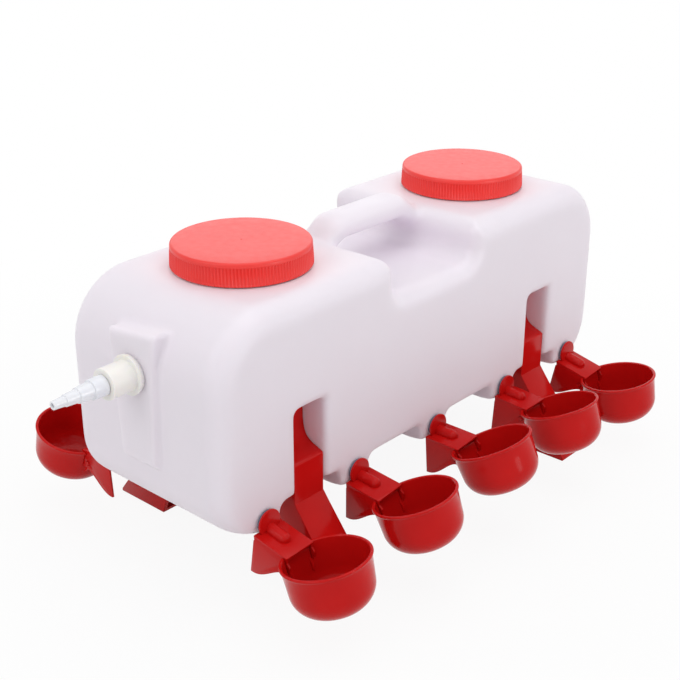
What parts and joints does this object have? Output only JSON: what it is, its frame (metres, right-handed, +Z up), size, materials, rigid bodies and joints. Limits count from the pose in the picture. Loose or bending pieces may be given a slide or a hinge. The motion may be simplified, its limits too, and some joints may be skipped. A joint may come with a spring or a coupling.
{
  "type": "poultry drinker",
  "caption": "Free-standing poultry drinker: a milky two-humped water tank with a carrying grip and screw caps on short legs, with tipping valve cups along both sides.",
  "frame": {"origin": "on the ground, at the middle of the whole object's footprint", "axes": "+X along the tank away from its hose inlet, +Y across the tank away from the picture's near side, +Z up"},
  "size_m": [0.5968, 0.3812, 0.2718],
  "materials": {
    "milky_plastic": "satin, slightly translucent blow-moulded polyethylene",
    "red_plastic": "glossy injection-moulded plastic",
    "cap_plastic": "semi-gloss plastic",
    "dark_rubber": "matte rubber",
    "cream_plastic": "satin plastic",
    "barb_plastic": "smooth translucent plastic",
    "liner_foam": "matte closed-cell foam"
  },
  "bodies": {
    "tank": {"tank": "milky_plastic", "inlet_washer": "cream_plastic", "inlet_fitting": "cream_plastic", "inlet_lock_nut": "cream_plastic", "hose_barb": "barb_plastic", "leg_left_near": "red_plastic", "leg_left_far": "red_plastic", "leg_right_near": "red_plastic", "leg_right_far": "red_plastic", "bracket_near_1": "red_plastic", "bracket_near_2": "red_plastic", "bracket_near_3": "red_plastic", "bracket_near_4": "red_plastic", "bracket_near_5": "red_plastic", "bracket_far_1": "red_plastic", "bracket_far_2": "red_plastic", "bracket_far_3": "red_plastic", "bracket_far_4": "red_plastic", "bracket_far_5": "red_plastic", "stem_gasket_near_1": "dark_rubber", "stem_gasket_near_2": "dark_rubber", "stem_gasket_near_3": "dark_rubber", "stem_gasket_near_4": "dark_rubber", "stem_gasket_near_5": "dark_rubber", "stem_gasket_far_1": "dark_rubber", "stem_gasket_far_2": "dark_rubber", "stem_gasket_far_3": "dark_rubber", "stem_gasket_far_4": "dark_rubber", "stem_gasket_far_5": "dark_rubber"},
    "cap_lift_left": {"cap_liner_left": "liner_foam"},
    "cap_left": {"cap_left": "cap_plastic"},
    "cap_lift_right": {"cap_liner_right": "liner_foam"},
    "cap_right": {"cap_right": "cap_plastic"},
    "cup_near_1": {"cup_near_1": "red_plastic"},
    "valve_plunger_near_1": {"valve_plunger_near_1": "red_plastic"},
    "cup_near_2": {"cup_near_2": "red_plastic"},
    "valve_plunger_near_2": {"valve_plunger_near_2": "red_plastic"},
    "cup_near_3": {"cup_near_3": "red_plastic"},
    "valve_plunger_near_3": {"valve_plunger_near_3": "red_plastic"},
    "cup_near_4": {"cup_near_4": "red_plastic"},
    "valve_plunger_near_4": {"valve_plunger_near_4": "red_plastic"},
    "cup_near_5": {"cup_near_5": "red_plastic"},
    "valve_plunger_near_5": {"valve_plunger_near_5": "red_plastic"},
    "cup_far_1": {"cup_far_1": "red_plastic"},
    "valve_plunger_far_1": {"valve_plunger_far_1": "red_plastic"},
    "cup_far_2": {"cup_far_2": "red_plastic"},
    "valve_plunger_far_2": {"valve_plunger_far_2": "red_plastic"},
    "cup_far_3": {"cup_far_3": "red_plastic"},
    "valve_plunger_far_3": {"valve_plunger_far_3": "red_plastic"},
    "cup_far_4": {"cup_far_4": "red_plastic"},
    "valve_plunger_far_4": {"valve_plunger_far_4": "red_plastic"},
    "cup_far_5": {"cup_far_5": "red_plastic"},
    "valve_plunger_far_5": {"valve_plunger_far_5": "red_plastic"}
  },
  "joints": [
    {"name": "cap_left_rise", "type": "slide", "parent": "tank", "child": "cap_lift_left", "axis": [0, 0, 1], "range_m": [0, 0.006]},
    {"name": "cap_left_turn", "type": "hinge", "parent": "cap_lift_left", "child": "cap_left", "pos_m": [-0.10815, 0, 0.2714], "axis": [0, 0, 1], "range_deg": [0, 360]},
    {"name": "cap_right_rise", "type": "slide", "parent": "tank", "child": "cap_lift_right", "axis": [0, 0, 1], "range_m": [0, 0.006]},
    {"name": "cap_right_turn", "type": "hinge", "parent": "cap_lift_right", "child": "cap_right", "pos_m": [0.18505, 0, 0.2714], "axis": [0, 0, 1], "range_deg": [0, 360]},
    {"name": "cup_near_1_hinge", "type": "hinge", "parent": "tank", "child": "cup_near_1", "pos_m": [-0.17405, -0.11682, 0.05604], "axis": [0.9988, 0, 0.0488], "range_deg": [0, 23.5], "stiffness_Nm_per_rad": 0.02, "springref_deg": -34.38},
    {"name": "valve_near_1_slide", "type": "slide", "parent": "tank", "child": "valve_plunger_near_1", "axis": [-0.048, -0.1805, 0.9824], "range_m": [0, 0.00437]},
    {"name": "cup_near_2_hinge", "type": "hinge", "parent": "tank", "child": "cup_near_2", "pos_m": [-0.06626, -0.11821, 0.05865], "axis": [0.9945, 0, 0.1045], "range_deg": [0, 23.5], "stiffness_Nm_per_rad": 0.02, "springref_deg": -34.38},
    {"name": "valve_near_2_slide", "type": "slide", "parent": "tank", "child": "valve_plunger_near_2", "axis": [-0.104, -0.0958, 0.9899], "range_m": [0, 0.00437]},
    {"name": "cup_near_3_hinge", "type": "hinge", "parent": "tank", "child": "cup_near_3", "pos_m": [0.03993, -0.1195, 0.06157], "axis": [0.9962, 0, 0.0872], "range_deg": [0, 23.5], "stiffness_Nm_per_rad": 0.02, "springref_deg": -34.38},
    {"name": "valve_near_3_slide", "type": "slide", "parent": "tank", "child": "valve_plunger_near_3", "axis": [-0.0872, 0, 0.9962], "range_m": [0, 0.00437]},
    {"name": "cup_near_4_hinge", "type": "hinge", "parent": "tank", "child": "cup_near_4", "pos_m": [0.14565, -0.11854, 0.05923], "axis": [0.9998, 0, 0.0209], "range_deg": [0, 23.5], "stiffness_Nm_per_rad": 0.02, "springref_deg": -34.38},
    {"name": "valve_near_4_slide", "type": "slide", "parent": "tank", "child": "valve_plunger_near_4", "axis": [-0.0209, -0.0732, 0.9971], "range_m": [0, 0.00437]},
    {"name": "cup_near_5_hinge", "type": "hinge", "parent": "tank", "child": "cup_near_5", "pos_m": [0.25372, -0.11586, 0.05459], "axis": [0.9976, 0, 0.0698], "range_deg": [0, 23.5], "stiffness_Nm_per_rad": 0.02, "springref_deg": -34.38},
    {"name": "valve_near_5_slide", "type": "slide", "parent": "tank", "child": "valve_plunger_near_5", "axis": [-0.0679, -0.2317, 0.9704], "range_m": [0, 0.00437]},
    {"name": "cup_far_1_hinge", "type": "hinge", "parent": "tank", "child": "cup_far_1", "pos_m": [-0.17618, 0.11766, 0.05752], "axis": [-0.9988, 0, 0.0488], "range_deg": [0, 23.5], "stiffness_Nm_per_rad": 0.02, "springref_deg": -34.38},
    {"name": "valve_far_1_slide", "type": "slide", "parent": "tank", "child": "valve_plunger_far_1", "axis": [0.0484, 0.1305, 0.9903], "range_m": [0, 0.00437]},
    {"name": "cup_far_2_hinge", "type": "hinge", "parent": "tank", "child": "cup_far_2", "pos_m": [-0.07044, 0.11821, 0.05865], "axis": [-0.9945, 0, 0.1045], "range_deg": [0, 23.5], "stiffness_Nm_per_rad": 0.02, "springref_deg": -34.38},
    {"name": "valve_far_2_slide", "type": "slide", "parent": "tank", "child": "valve_plunger_far_2", "axis": [0.104, 0.0958, 0.9899], "range_m": [0, 0.00437]},
    {"name": "cup_far_3_hinge", "type": "hinge", "parent": "tank", "child": "cup_far_3", "pos_m": [0.03697, 0.1195, 0.06157], "axis": [-0.9962, 0, 0.0872], "range_deg": [0, 23.5], "stiffness_Nm_per_rad": 0.02, "springref_deg": -34.38},
    {"name": "valve_far_3_slide", "type": "slide", "parent": "tank", "child": "valve_plunger_far_3", "axis": [0.0872, 0, 0.9962], "range_m": [0, 0.00437]},
    {"name": "cup_far_4_hinge", "type": "hinge", "parent": "tank", "child": "cup_far_4", "pos_m": [0.14485, 0.11854, 0.05923], "axis": [-0.9998, 0, 0.0209], "range_deg": [0, 23.5], "stiffness_Nm_per_rad": 0.02, "springref_deg": -34.38},
    {"name": "valve_far_4_slide", "type": "slide", "parent": "tank", "child": "valve_plunger_far_4", "axis": [0.0209, 0.0732, 0.9971], "range_m": [0, 0.00437]},
    {"name": "cup_far_5_hinge", "type": "hinge", "parent": "tank", "child": "cup_far_5", "pos_m": [0.25038, 0.11586, 0.05459], "axis": [-0.9976, 0, 0.0698], "range_deg": [0, 23.5], "stiffness_Nm_per_rad": 0.02, "springref_deg": -34.38},
    {"name": "valve_far_5_slide", "type": "slide", "parent": "tank", "child": "valve_plunger_far_5", "axis": [0.0679, 0.2317, 0.9704], "range_m": [0, 0.00437]}
  ],
  "couplings": [
    {"joint": "cap_left_rise", "follows": "cap_left_turn", "m_per_rad": 0.00095483},
    {"joint": "cap_right_rise", "follows": "cap_right_turn", "m_per_rad": 0.00095483},
    {"joint": "valve_near_1_slide", "follows": "cup_near_1_hinge", "m_per_rad": 0.010649},
    {"joint": "valve_near_2_slide", "follows": "cup_near_2_hinge", "m_per_rad": 0.010649},
    {"joint": "valve_near_3_slide", "follows": "cup_near_3_hinge", "m_per_rad": 0.010649},
    {"joint": "valve_near_4_slide", "follows": "cup_near_4_hinge", "m_per_rad": 0.010649},
    {"joint": "valve_near_5_slide", "follows": "cup_near_5_hinge", "m_per_rad": 0.010649},
    {"joint": "valve_far_1_slide", "follows": "cup_far_1_hinge", "m_per_rad": 0.010649},
    {"joint": "valve_far_2_slide", "follows": "cup_far_2_hinge", "m_per_rad": 0.010649},
    {"joint": "valve_far_3_slide", "follows": "cup_far_3_hinge", "m_per_rad": 0.010649},
    {"joint": "valve_far_4_slide", "follows": "cup_far_4_hinge", "m_per_rad": 0.010649},
    {"joint": "valve_far_5_slide", "follows": "cup_far_5_hinge", "m_per_rad": 0.010649}
  ]
}
